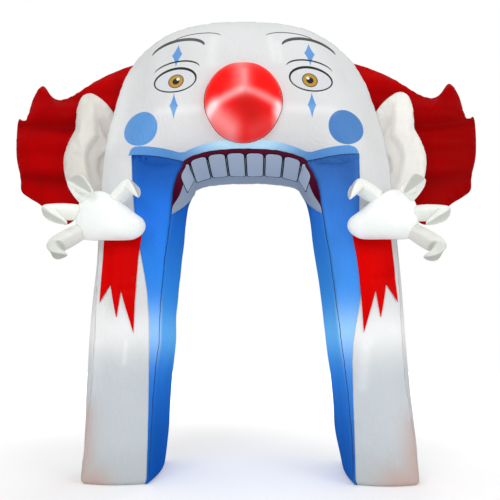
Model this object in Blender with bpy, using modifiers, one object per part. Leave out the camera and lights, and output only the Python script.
"""Inflatable walk-through arch with a clown's head: a blown-up cloth envelope on two legs.

The air envelope is one filled form, lofted through ribs from one foot, over the head, to the other
foot. Coloured panels are thin sheets that follow it. The nose, ears, hair, palms and fingers are
air-filled forms of their own, each seated 0.3 mm off the form that carries it.
Units are metres. +Z is up, the face looks along -Y, and "left" is the -X side.
"""

import math

import bmesh
import bpy
from mathutils import Vector

# Overall layout
LEG_FRONT_Y = -0.18  # plane of the legs' front seams
GUSSET_DEPTH = 0.55  # front seam to back seam, along Y
FEET_MIDDLE_X = 0.022  # the legs' middle plane, set so that the whole box stays over the origin
LEAN = -0.060  # sideways drift of the soft arch at LEAN_HEIGHT
LEAN_HEIGHT = 2.90
SEAT_GAP = 0.0003  # clearance between a piece and what carries it
SHEET = 0.002  # thickness of a cloth panel
SEAM_INSET = 0.002  # a panel stops this far short of a corner seam
RIGHT_NEARER, RIGHT_LOWER = 0.016, 0.010  # the right ear and hair sit this much nearer the middle and lower

# Puff of the panels between their seams
GUSSET_PUFF_OUT = 0.054
GUSSET_PUFF_IN = 0.028
BACK_PUFF_LEG = 0.035
BACK_PUFF_HEAD = 0.11
FOOT_ROUND = 0.030

# Cells round one rib
BLUE_CELLS, WHITE_CELLS, OUTER_CELLS, BACK_CELLS, INNER_CELLS = 3, 8, 6, 8, 6
FRONT_CELLS = BLUE_CELLS + WHITE_CELLS
LOOP_CELLS = FRONT_CELLS + OUTER_CELLS + BACK_CELLS + INNER_CELLS
FOOT_STEPS, LEG_STEPS, HEAD_STEPS = 4, 13, 13

# One leg, foot to cheek: height, then x of the inner seam, the blue panel's edge and the outer seam,
# how far the front puffs out, and how far the blue panel lies back from the white one.
LEG_RIBS = (
    # z, inner_x, blue_x, outer_x, front_puff, recess
    (0.000, 0.541, 0.556, 0.874, 0.030, 0.000),
    (0.260, 0.540, 0.559, 0.875, 0.034, 0.000),
    (0.500, 0.530, 0.562, 0.874, 0.036, 0.000),
    (0.750, 0.508, 0.567, 0.872, 0.038, 0.001),
    (1.000, 0.489, 0.584, 0.870, 0.040, 0.004),
    (1.200, 0.471, 0.608, 0.867, 0.043, 0.009),
    (1.400, 0.449, 0.637, 0.864, 0.050, 0.020),
    (1.600, 0.432, 0.656, 0.860, 0.062, 0.040),
    (1.700, 0.409, 0.660, 0.858, 0.074, 0.052),
    (1.775, 0.372, 0.662, 0.856, 0.084, 0.062),
)

# Half of the head, cheek to middle: the mouth seam and the crown seam in x and z, how far each lies
# behind the legs' front plane, and how far the face puffs out between them.
HEAD_RIBS = (
    # inner_x, inner_z, outer_x, outer_z, inner_back, outer_back, face_puff
    (0.369, 1.792, 0.855, 1.802, -0.004, 0.004, 0.096),
    (0.333, 1.812, 0.852, 1.905, -0.016, 0.022, 0.118),
    (0.285, 1.825, 0.838, 2.050, -0.030, 0.048, 0.136),
    (0.240, 1.833, 0.812, 2.200, -0.040, 0.072, 0.152),
    (0.195, 1.839, 0.772, 2.380, -0.048, 0.094, 0.168),
    (0.155, 1.842, 0.695, 2.540, -0.053, 0.108, 0.180),
    (0.115, 1.844, 0.572, 2.678, -0.057, 0.116, 0.190),
    (0.075, 1.845, 0.420, 2.771, -0.059, 0.120, 0.196),
    (0.037, 1.845, 0.215, 2.820, -0.060, 0.120, 0.199),
    (0.000, 1.845, 0.000, 2.833, -0.060, 0.120, 0.200),
)
FACE_FULLNESS = 0.8  # under 1 fills the face out towards its seams

# The slanting seam where the mouth panel meets the blue lining of each leg
MOUTH_FRONT_Z = 1.466
MOUTH_BACK_Z = 1.700
MOUTH_DROP_ROWS = 5  # rows of each leg that the panel is cut from
PANEL_GAP = 0.001  # between the mouth panel and the linings

# Nose
NOSE_RADII = (0.227, 0.145, 0.232)
NOSE_Z = 2.095
NOSE_BEHIND_LEG_FRONT = -0.150
NOSE_TILT = math.radians(12)

# Ear: its outline about EAR_AT, which is x, distance behind the legs' front plane, and z
EAR_AT = (1.02, 0.17, 2.02)
EAR_OUTLINE = (
    # x, z: down the outer edge from the top, then up the root inside the head
    (-0.003, 0.325),
    (0.066, 0.275),
    (0.080, 0.130),
    (0.069, 0.061),
    (0.104, 0.006),
    (0.140, -0.125),
    (0.112, -0.280),
    (0.040, -0.385),
    (-0.090, -0.390),
    (-0.190, -0.200),
    (-0.195, 0.080),
    (-0.123, 0.234),
)
EAR_THICKNESS = 0.085
EAR_STEPS = 3
CONCHA_AT, CONCHA_SIZE, CONCHA_DEPTH = (-0.065, -0.080), (0.058, 0.190), 0.055

# Hair: its outline about HAIR_AT, with two curls, a low tip and a root inside the head
HAIR_AT = (1.152, 0.385, 2.127)
HAIR_OUTLINE = (
    # x, z: out along the top to the curls, down the outer edge, then up the root
    (-0.349, 0.560),
    (-0.124, 0.460),
    (0.060, 0.325),
    (0.165, 0.290),
    (0.224, 0.322),
    (0.294, 0.402),
    (0.352, 0.305),
    (0.385, 0.122),
    (0.436, 0.148),
    (0.442, 0.040),
    (0.415, -0.140),
    (0.352, -0.320),
    (0.308, -0.408),
    (0.220, -0.470),
    (0.125, -0.570),
    (0.040, -0.615),
    (-0.100, -0.500),
    (-0.330, -0.350),
    (-0.370, -0.130),
    (-0.440, 0.220),
    (-0.560, 0.490),
    (-0.480, 0.570),
)
HAIR_STEPS = 3
HAIR_THICKNESS = 0.095
HAIR_WAVES, HAIR_WAVE_DEPTH = 4.4, 0.12  # waves per metre of height, and their share of the thickness

# Hand
PALM_AT = (0.745, -0.118, 1.415)
PALM_OUTLINE = (
    # x, z from the palm's middle, heel first
    (-0.182, -0.048),
    (-0.160, -0.096),
    (-0.118, -0.123),
    (0.015, -0.128),
    (0.150, -0.124),
    (0.200, -0.078),
    (0.208, 0.017),
    (0.190, 0.095),
    (0.125, 0.148),
    (0.055, 0.148),
    (-0.037, 0.085),
    (-0.142, -0.006),
)
PALM_THICKNESS = 0.095
PALM_STEPS = 3

# Fingers, on the palm's middle: base, knuckle and tip in x, y, z, with half width and half thickness
FINGERS = (
    # name, base, knuckle, tip, half_width, half_thickness
    ("thumb", (-0.011, -0.010, 0.100), (-0.096, -0.045, 0.178), (-0.162, -0.105, 0.098), 0.046, 0.036),
    ("upper_finger", (0.140, -0.010, 0.105), (0.208, -0.045, 0.208), (0.135, -0.125, 0.125), 0.060, 0.042),
    ("outer_finger", (0.180, -0.010, 0.022), (0.366, -0.045, 0.034), (0.230, -0.125, -0.055), 0.048, 0.040),
    ("lower_finger", (0.160, -0.012, -0.066), (0.322, -0.050, -0.165), (0.205, -0.105, -0.230), 0.048, 0.048),
)
FINGER_SIDES = 10
CREASE_STEP = 0.004  # how far apart a finger's rings stay inside its fold

# Red points sewn to the front of each leg: x and z of the outline
POINTS_OUTLINE = (
    (0.600, 1.345),
    (0.820, 1.345),
    (0.822, 1.200),
    (0.832, 0.950),
    (0.770, 1.050),
    (0.726, 0.860),
    (0.708, 1.016),
    (0.631, 0.780),
    (0.630, 1.060),
    (0.600, 1.190),
)
POINTS_MARGIN = 0.14  # extra cloth above and below the outline, before it is cut

COLOURS = {
    # material: base colour, roughness
    "white_cloth": ((0.86, 0.87, 0.87), 0.45),
    "ear_cloth": ((0.80, 0.78, 0.74), 0.50),
    "blue_cloth": ((0.05, 0.19, 0.62), 0.45),
    "mouth_cloth": ((0.55, 0.62, 0.70), 0.50),
    "red_cloth": ((0.52, 0.01, 0.01), 0.45),
    "nose_cloth": ((0.80, 0.02, 0.02), 0.35),
}


def lean_at(z):
    """The x of the arch's middle at this height, with the soft arch's sideways drift."""
    return FEET_MIDDLE_X + LEAN * (max(z, 0.0) / LEAN_HEIGHT) ** 2


def smooth_rows(rows, count):
    """count + 1 rows, evenly spaced along a smooth curve through the table's rows."""
    last = len(rows) - 1
    found = []
    for step in range(count + 1):
        place = step / count * last
        low = min(int(place), last - 1)
        share = place - low
        before, a, b, after = (rows[max(low - 1, 0)], rows[low], rows[low + 1], rows[min(low + 2, last)])
        found.append(tuple(
            0.5 * (2 * q + (r - p) * share + (2 * p - 5 * q + 4 * r - s) * share**2
                   + (3 * q - p - 3 * r + s) * share**3)
            for p, q, r, s in zip(before, a, b, after)
        ))
    return found


def puff(share, fullness=1.0):
    """How a panel stands out between its two seams, 0 at each seam and 1 between them."""
    return math.sin(math.pi * min(max(share, 0.0), 1.0)) ** fullness


def rib_loop(rib):
    """The points round one rib, from the inner front seam over the front, outside, back and inside."""
    inner, outer = Vector(rib["inner"]), Vector(rib["outer"])
    outward = (outer - inner).normalized()
    front_in, front_out = rib["inner_back"], rib["outer_back"]
    points = []
    for cell in range(FRONT_CELLS):
        if cell < BLUE_CELLS:
            share = rib["blue_share"] * cell / BLUE_CELLS
            set_back = rib["recess"] * puff(cell / BLUE_CELLS * 0.75)
        else:
            share = rib["blue_share"] + (1 - rib["blue_share"]) * (cell - BLUE_CELLS) / WHITE_CELLS
            set_back = 0.0
        at = inner.lerp(outer, share)
        depth = front_in + (front_out - front_in) * share
        depth += set_back - rib["front_puff"] * puff(share, rib["fullness"])
        points.append((at.x, depth, at.y))
    for cell in range(OUTER_CELLS):
        share = cell / OUTER_CELLS
        at = outer + outward * GUSSET_PUFF_OUT * puff(share)
        points.append((at.x, front_out + (GUSSET_DEPTH - front_out) * share, at.y))
    for cell in range(BACK_CELLS):
        share = cell / BACK_CELLS
        at = outer.lerp(inner, share)
        points.append((at.x, GUSSET_DEPTH + rib["back_puff"] * puff(share, rib["fullness"]), at.y))
    for cell in range(INNER_CELLS):
        share = cell / INNER_CELLS
        at = inner - outward * GUSSET_PUFF_IN * puff(share)
        points.append((at.x, GUSSET_DEPTH + (front_in - GUSSET_DEPTH) * share, at.y))
    return points


def foot_rounded(points, height):
    """The foot's rib drawn in towards its middle, so that the bottom edge is round."""
    below = max(0.0, 1 - height / FOOT_ROUND)
    inset = FOOT_ROUND * (1 - math.sqrt(max(0.0, 1 - below**2)))
    middle = [sum(p[axis] for p in points) / len(points) for axis in (0, 1)]
    reach = [max(abs(p[axis] - middle[axis]) for p in points) for axis in (0, 1)]
    keep = [1 - inset / r for r in reach]
    return [
        (middle[0] + (x - middle[0]) * keep[0], middle[1] + (y - middle[1]) * keep[1], z)
        for x, y, z in points
    ]


def leg_rows():
    """The leg's rows: close together up the rounded foot, then evenly spaced to the cheek."""
    leg = smooth_rows(LEG_RIBS, LEG_STEPS)
    foot = [FOOT_ROUND * (1 - math.cos(math.pi / 2 * step / FOOT_STEPS)) for step in range(FOOT_STEPS + 1)]
    return [(height, *leg[0][1:]) for height in foot] + leg[1:]


def half_arch():
    """Loops of points for the +X half, foot to middle, before the lean."""
    loops = []
    for z, inner_x, blue_x, outer_x, front_puff, recess in leg_rows():
        rib = {
            "inner": (inner_x, z),
            "outer": (outer_x, z),
            "inner_back": 0.0,
            "outer_back": 0.0,
            "blue_share": (blue_x - inner_x) / (outer_x - inner_x),
            "recess": recess,
            "front_puff": front_puff,
            "back_puff": BACK_PUFF_LEG,
            "fullness": 1.0,
        }
        loops.append(foot_rounded(rib_loop(rib), z))
    blue_share = (LEG_RIBS[-1][2] - LEG_RIBS[-1][1]) / (LEG_RIBS[-1][3] - LEG_RIBS[-1][1])
    head = smooth_rows(HEAD_RIBS, HEAD_STEPS)
    for number, row in enumerate(head):
        inner_x, inner_z, outer_x, outer_z, inner_back, outer_back, face_puff = row
        up = number / HEAD_STEPS
        rib = {
            "inner": (inner_x, inner_z),
            "outer": (outer_x, outer_z),
            "inner_back": inner_back,
            "outer_back": outer_back,
            "blue_share": blue_share + (BLUE_CELLS / FRONT_CELLS - blue_share) * up,
            "recess": 0.0,
            "front_puff": face_puff,
            "back_puff": BACK_PUFF_LEG + (BACK_PUFF_HEAD - BACK_PUFF_LEG) * math.sin(math.pi / 2 * up),
            "fullness": 1.0 + (FACE_FULLNESS - 1.0) * min(1.0, 2 * up),
        }
        loops.append(rib_loop(rib))
    return loops


def placed(x, depth, z):
    """A point of the arch in world space: depth is measured from the legs' front plane."""
    return Vector((x + lean_at(z), LEG_FRONT_Y + depth, z))


def arch_loops():
    """Every loop of the arch, from the left foot over the head to the right foot."""
    half = half_arch()
    left = [[placed(-x, y, z) for x, y, z in loop] for loop in half]
    right = [[placed(x, y, z) for x, y, z in loop] for loop in half[-2::-1]]
    return left + right


def material(name):
    """The Principled material for one kind of cloth, made once."""
    found = bpy.data.materials.get(name)
    if found:
        return found
    colour, roughness = COLOURS[name]
    made = bpy.data.materials.new(name)
    made.use_nodes = True
    shader = made.node_tree.nodes["Principled BSDF"]
    shader.inputs["Base Color"].default_value = (*colour, 1.0)
    shader.inputs["Roughness"].default_value = roughness
    shader.inputs["Metallic"].default_value = 0.0
    made.diffuse_color = (*colour, 1.0)
    return made


def add_object(name, mesh, collection, cloth=None):
    made = bpy.data.objects.new(name, mesh)
    collection.objects.link(made)
    if cloth:
        mesh.materials.append(material(cloth))
        mesh.shade_smooth()
    else:
        made.hide_render = True
        made.display_type = "WIRE"
    return made


def grid_mesh(name, loops, wrap=False, caps=False, domed=False):
    """A mesh over rows of points: wrap closes each row into a ring, and caps closes the two ends."""
    bm = bmesh.new()
    rows = [[bm.verts.new(point) for point in loop] for loop in loops]
    across = len(loops[0])
    for low, high in zip(rows, rows[1:]):
        for i in range(across if wrap else across - 1):
            j = (i + 1) % across
            bm.faces.new((low[i], low[j], high[j]))
            bm.faces.new((low[i], high[j], high[i]))
    if caps:
        ends = [bm.faces.new(rows[0]), bm.faces.new(rows[-1])]
        if domed:
            bmesh.ops.poke(bm, faces=ends)
        bmesh.ops.recalc_face_normals(bm, faces=bm.faces)
    mesh = bpy.data.meshes.new(name)
    bm.to_mesh(mesh)
    bm.free()
    return mesh


def facing(mesh, direction):
    """Turns an open sheet's faces so that most of them look along this direction."""
    area = sum((p.normal.dot(direction) * p.area for p in mesh.polygons), 0.0)
    if area < 0:
        mesh.flip_normals()
    return mesh


def grown(piece, amount, cutters):
    """A hidden copy of a piece, swollen by amount, that cuts its neighbours clear of it."""
    graph = bpy.context.evaluated_depsgraph_get()
    mesh = bpy.data.meshes.new_from_object(piece.evaluated_get(graph))
    normals = [vertex.normal.copy() for vertex in mesh.vertices]
    for vertex, normal in zip(mesh.vertices, normals):
        vertex.co += normal * amount
    copy = add_object(piece.name + "_grown", mesh, cutters)
    copy.matrix_world = piece.matrix_world
    return copy


def cut(piece, cutter, operation="DIFFERENCE"):
    boolean = piece.modifiers.new(cutter.name, "BOOLEAN")
    boolean.operation = operation
    boolean.object = cutter
    boolean.solver = "EXACT"


def cloth_sheet(name, points, towards, cloth, parts):
    """A cloth panel on the envelope: rows of its surface points, drawn in at the edges and thickened."""
    rows = [list(row) for row in points]
    rows[0] = [a + (b - a).normalized() * SEAM_INSET for a, b in zip(rows[0], rows[1])]
    rows[-1] = [a + (b - a).normalized() * SEAM_INSET for a, b in zip(rows[-1], rows[-2])]
    for row in rows:
        row[0] = row[0] + (row[1] - row[0]).normalized() * SEAM_INSET
        row[-1] = row[-1] + (row[-2] - row[-1]).normalized() * SEAM_INSET
    mesh = facing(grid_mesh(name, rows), towards)
    normals = [vertex.normal.copy() for vertex in mesh.vertices]
    for vertex, normal in zip(mesh.vertices, normals):
        vertex.co += normal * SEAT_GAP
    sheet = add_object(name, mesh, parts, cloth)
    solidify = sheet.modifiers.new("thickness", "SOLIDIFY")
    solidify.thickness = SHEET
    solidify.offset = 1.0
    return sheet


def prism(name, outline, low, high, axis, cutters):
    """A hidden block: a flat outline drawn out along Y or X between two planes."""
    bm = bmesh.new()
    ends = []
    for level in (low, high):
        points = [(a, level, b) if axis == "Y" else (level, a, b) for a, b in outline]
        ends.append([bm.verts.new(point) for point in points])
    bm.faces.new(ends[0])
    bm.faces.new(ends[1])
    for i in range(len(outline)):
        j = (i + 1) % len(outline)
        bm.faces.new((ends[0][i], ends[0][j], ends[1][j], ends[1][i]))
    bmesh.ops.recalc_face_normals(bm, faces=bm.faces)
    mesh = bpy.data.meshes.new(name)
    bm.to_mesh(mesh)
    bm.free()
    return add_object(name, mesh, cutters)


def softened(outline, passes):
    """The outline with its corners eased, by averaging each point with its neighbours."""
    for _ in range(passes):
        count = len(outline)
        outline = [
            ((outline[i - 1][0] + outline[i][0] * 2 + outline[(i + 1) % count][0]) / 4,
             (outline[i - 1][1] + outline[i][1] * 2 + outline[(i + 1) % count][1]) / 4)
            for i in range(count)
        ]
    return outline


def puffed_mesh(name, outline, thickness, rings, dent=None):
    """A cushion over a flat outline in x and z: thick in the middle, with a rim seam at the outline."""
    front, back = [], []
    for ring in range(1, rings):
        angle = math.pi / 2 * ring / rings
        reach, rise = math.sin(angle), math.cos(angle) * thickness
        eased = softened(outline, 3 * (rings - ring))
        for side, rows in ((-1, front), (1, back)):
            row = [Vector((x * reach, side * rise, z * reach)) for x, z in eased]
            if dent and side < 0:
                for at in row:
                    at.y += dent(at.x, at.z)
            rows.append(row)
    rim = [Vector((x, 0.0, z)) for x, z in outline]
    return grid_mesh(name, front + [rim] + back[::-1], wrap=True, caps=True, domed=True)


def closed_curve(points, steps):
    """A smooth closed outline through the points, with steps short edges between two of them."""
    outline = []
    count = len(points)
    for i in range(count):
        p, q, r, s = (Vector(points[(i + k) % count]) for k in (-1, 0, 1, 2))
        for step in range(steps):
            t = step / steps
            at = 0.5 * (2 * q + (r - p) * t + (2 * p - 5 * q + 4 * r - s) * t**2 + (3 * q - p - 3 * r + s) * t**3)
            outline.append((at.x, at.y))
    return outline


def finger_mesh(name, base, knuckle, tip, half_width, half_thickness, side):
    """A boxy finger: a straight stretch to a creased knuckle, then a tapering claw that folds forward."""
    base, knuckle, tip = (Vector((x * side, y, z)) for x, y, z in (base, knuckle, tip))
    first, second = (knuckle - base).normalized(), (tip - knuckle).normalized()
    hinge = first.cross(second).normalized()
    fold = (first + second).normalized()  # square to the plane that halves the bend
    mitre = 1 / first.dot(fold)
    stations = (
        # place, direction, width share, thickness share, steps past the knuckle
        (base, first, 0.88, 0.90, -3),
        (base.lerp(knuckle, 0.42), first, 1.00, 1.00, -2),
        (base.lerp(knuckle, 0.85), first, 1.04, 1.04, -1),
        (knuckle, fold, 1.02, 1.00, 0),
        (knuckle.lerp(tip, 0.30), second, 0.95, 0.90, 1),
        (knuckle.lerp(tip, 0.72), second, 0.78, 0.70, 2),
        (knuckle.lerp(tip, 0.96), second, 0.52, 0.45, 3),
        (tip, second, 0.30, 0.25, 4),
    )
    loops = []
    for place, along, wide, thick, steps in stations:
        across = hinge.cross(along).normalized()
        loop = []
        for i in range(FINGER_SIDES):
            angle = 2 * math.pi * (i + 0.5) / FINGER_SIDES
            c, s = math.cos(angle), math.sin(angle)
            square = (abs(c) ** 3 + abs(s) ** 3) ** (-1 / 3)
            inward = s * square * half_thickness * thick
            if steps == 0 and inward > 0:
                inward *= mitre
            at = place + hinge * c * square * half_width * wide + across * inward
            past = (at - knuckle).dot(fold)
            limit = steps * CREASE_STEP
            if (past - limit) * steps < 0:  # beyond the bend's plane, so it slides back to the crease
                at += along * (limit - past) / along.dot(fold)
            loop.append(at)
        loops.append(loop)
    return grid_mesh(name, loops, wrap=True, caps=True)


def mouth_seam_block(name, drop, cutters):
    """A hidden block that fills the space over the mouth panel's slanting seam, lowered by drop."""
    slope = (MOUTH_BACK_Z - MOUTH_FRONT_Z) / GUSSET_DEPTH
    beyond = 0.3
    front, back = LEG_FRONT_Y - beyond, LEG_FRONT_Y + GUSSET_DEPTH + beyond
    outline = (
        (front, MOUTH_FRONT_Z - slope * beyond - drop),
        (back, MOUTH_BACK_Z + slope * beyond - drop),
        (back, LEAN_HEIGHT),
        (front, LEAN_HEIGHT),
    )
    return prism(name, outline, -1.0, 1.0, "X", cutters)


def place_at(piece, x, depth, z, side=1):
    piece.location = (x * side + lean_at(z), LEG_FRONT_Y + depth, z)


def place_at_side(piece, place, side):
    """Places an ear or the hair, which on the right sits a little nearer and lower."""
    x, depth, z = place
    if side > 0:
        x, z = x - RIGHT_NEARER, z - RIGHT_LOWER
    place_at(piece, x, depth, z, side)


def mirrored(outline, side):
    return [(x * side, z) for x, z in outline]


def build_envelope(loops, parts):
    mesh = grid_mesh("envelope", loops, wrap=True, caps=True)
    return add_object("envelope", mesh, parts, "white_cloth")


def build_panels(loops, parts, cutters):
    """The mouth panel over the passage, and on each leg the blue lining and the blue front wedge."""
    inside = [loop[-INNER_CELLS:] + loop[:1] for loop in loops]
    count = len(loops)
    leg_count = len(leg_rows())
    first = FOOT_STEPS  # the panels start above the rounded foot
    above_seam = mouth_seam_block("mouth_above", 0.0, cutters)
    above_seam_grown = mouth_seam_block("mouth_above_grown", PANEL_GAP, cutters)
    mouth_rows = inside[leg_count - MOUTH_DROP_ROWS : count - leg_count + MOUTH_DROP_ROWS]
    mouth = cloth_sheet("mouth_panel", mouth_rows, Vector((0, 0, -1)), "mouth_cloth", parts)
    cut(mouth, above_seam, "INTERSECT")
    legs = (
        ("left", -1, slice(first, leg_count), slice(first, leg_count + 2)),
        ("right", 1, slice(count - leg_count, count - first), slice(count - leg_count - 2, count - first)),
    )
    for name, side, front_rows, inside_rows in legs:
        lining = cloth_sheet(name + "_lining", inside[inside_rows], Vector((-side, 0, 0)), "blue_cloth", parts)
        cut(lining, above_seam_grown)
        wedge = [loop[: BLUE_CELLS + 1] for loop in loops[front_rows]]
        cloth_sheet(name + "_front_panel", wedge, Vector((0, -1, 0)), "blue_cloth", parts)


def build_red_points(loops, parts, cutters):
    """The red cloth with three long points on the front of each leg."""
    low = min(z for _, z in POINTS_OUTLINE) - POINTS_MARGIN
    high = max(z for _, z in POINTS_OUTLINE) + POINTS_MARGIN
    middle = len(loops) // 2
    for name, side, half in (("left", -1, loops[:middle]), ("right", 1, loops[middle:])):
        front = [loop[BLUE_CELLS : FRONT_CELLS + 1] for loop in half if low < loop[0].z < high]
        sheet = cloth_sheet(name + "_red_points", front, Vector((0, -1, 0)), "red_cloth", parts)
        outline = [(x * side + lean_at(z), z) for x, z in POINTS_OUTLINE]
        block = prism(name + "_points_outline", outline, LEG_FRONT_Y - 0.2, LEG_FRONT_Y + 0.1, "Y", cutters)
        cut(sheet, block, "INTERSECT")


def build_nose(parts, around):
    bpy.ops.mesh.primitive_uv_sphere_add(segments=32, ring_count=16, radius=1.0)
    nose = bpy.context.object
    nose.name = "nose"
    for vertex in nose.data.vertices:
        vertex.co = Vector(vertex.co[i] * NOSE_RADII[i] for i in range(3))
    nose.rotation_euler = (NOSE_TILT, 0.0, 0.0)
    place_at(nose, 0.0, NOSE_BEHIND_LEG_FRONT, NOSE_Z)
    for collection in list(nose.users_collection):
        collection.objects.unlink(nose)
    parts.objects.link(nose)
    nose.data.materials.append(material("nose_cloth"))
    nose.data.shade_smooth()
    cut(nose, around)


def concha(x, z, side):
    """The hollow of the ear, as a soft dent in its front."""
    dx = (x * side - CONCHA_AT[0]) / CONCHA_SIZE[0]
    dz = (z - CONCHA_AT[1]) / CONCHA_SIZE[1]
    return CONCHA_DEPTH * math.exp(-(dx * dx + dz * dz))


def build_ear(name, side, parts, around):
    outline = mirrored(closed_curve(EAR_OUTLINE, EAR_STEPS), side)
    mesh = puffed_mesh(name, outline, EAR_THICKNESS, 6, lambda x, z: concha(x, z, side))
    ear = add_object(name, mesh, parts, "ear_cloth")
    place_at_side(ear, EAR_AT, side)
    cut(ear, around)


def build_hair(name, side, parts, around):
    outline = mirrored(closed_curve(HAIR_OUTLINE, HAIR_STEPS), side)
    mesh = puffed_mesh(name, outline, HAIR_THICKNESS, 5)
    for vertex in mesh.vertices:
        vertex.co.y *= 1 - HAIR_WAVE_DEPTH * (1 + math.sin(2 * math.pi * HAIR_WAVES * vertex.co.z))
    hair = add_object(name, mesh, parts, "red_cloth")
    place_at_side(hair, HAIR_AT, side)
    cut(hair, around)


def build_hand(name, side, parts, cutters, around):
    outline = mirrored(closed_curve(PALM_OUTLINE, PALM_STEPS), side)
    palm = add_object(name + "_palm", puffed_mesh(name + "_palm", outline, PALM_THICKNESS, 4), parts, "white_cloth")
    place_at(palm, *PALM_AT, side)
    bpy.context.view_layer.update()
    around_palm = grown(palm, SEAT_GAP, cutters)
    cut(palm, around)
    for sheet in (name + "_front_panel", name + "_red_points"):
        cut(palm, grown(bpy.data.objects[sheet], SEAT_GAP, cutters))
    for finger_name, base, knuckle, tip, half_width, half_thickness in FINGERS:
        full = name + "_" + finger_name
        mesh = finger_mesh(full, base, knuckle, tip, half_width, half_thickness, side)
        finger = add_object(full, mesh, parts, "white_cloth")
        finger.location = palm.location
        cut(finger, around_palm)
        cut(finger, around)


def main():
    for old in list(bpy.data.objects):
        bpy.data.objects.remove(old)
    parts = bpy.data.collections.new("inflatable_arch")
    cutters = bpy.data.collections.new("cutters")
    for collection in (parts, cutters):
        bpy.context.scene.collection.children.link(collection)
    loops = arch_loops()
    envelope = build_envelope(loops, parts)
    around = grown(envelope, SEAT_GAP, cutters)
    build_panels(loops, parts, cutters)
    build_red_points(loops, parts, cutters)
    build_nose(parts, around)
    for name, side in (("left", -1), ("right", 1)):
        build_ear(name + "_ear", side, parts, around)
        build_hair(name + "_hair", side, parts, around)
        build_hand(name, side, parts, cutters, around)


main()
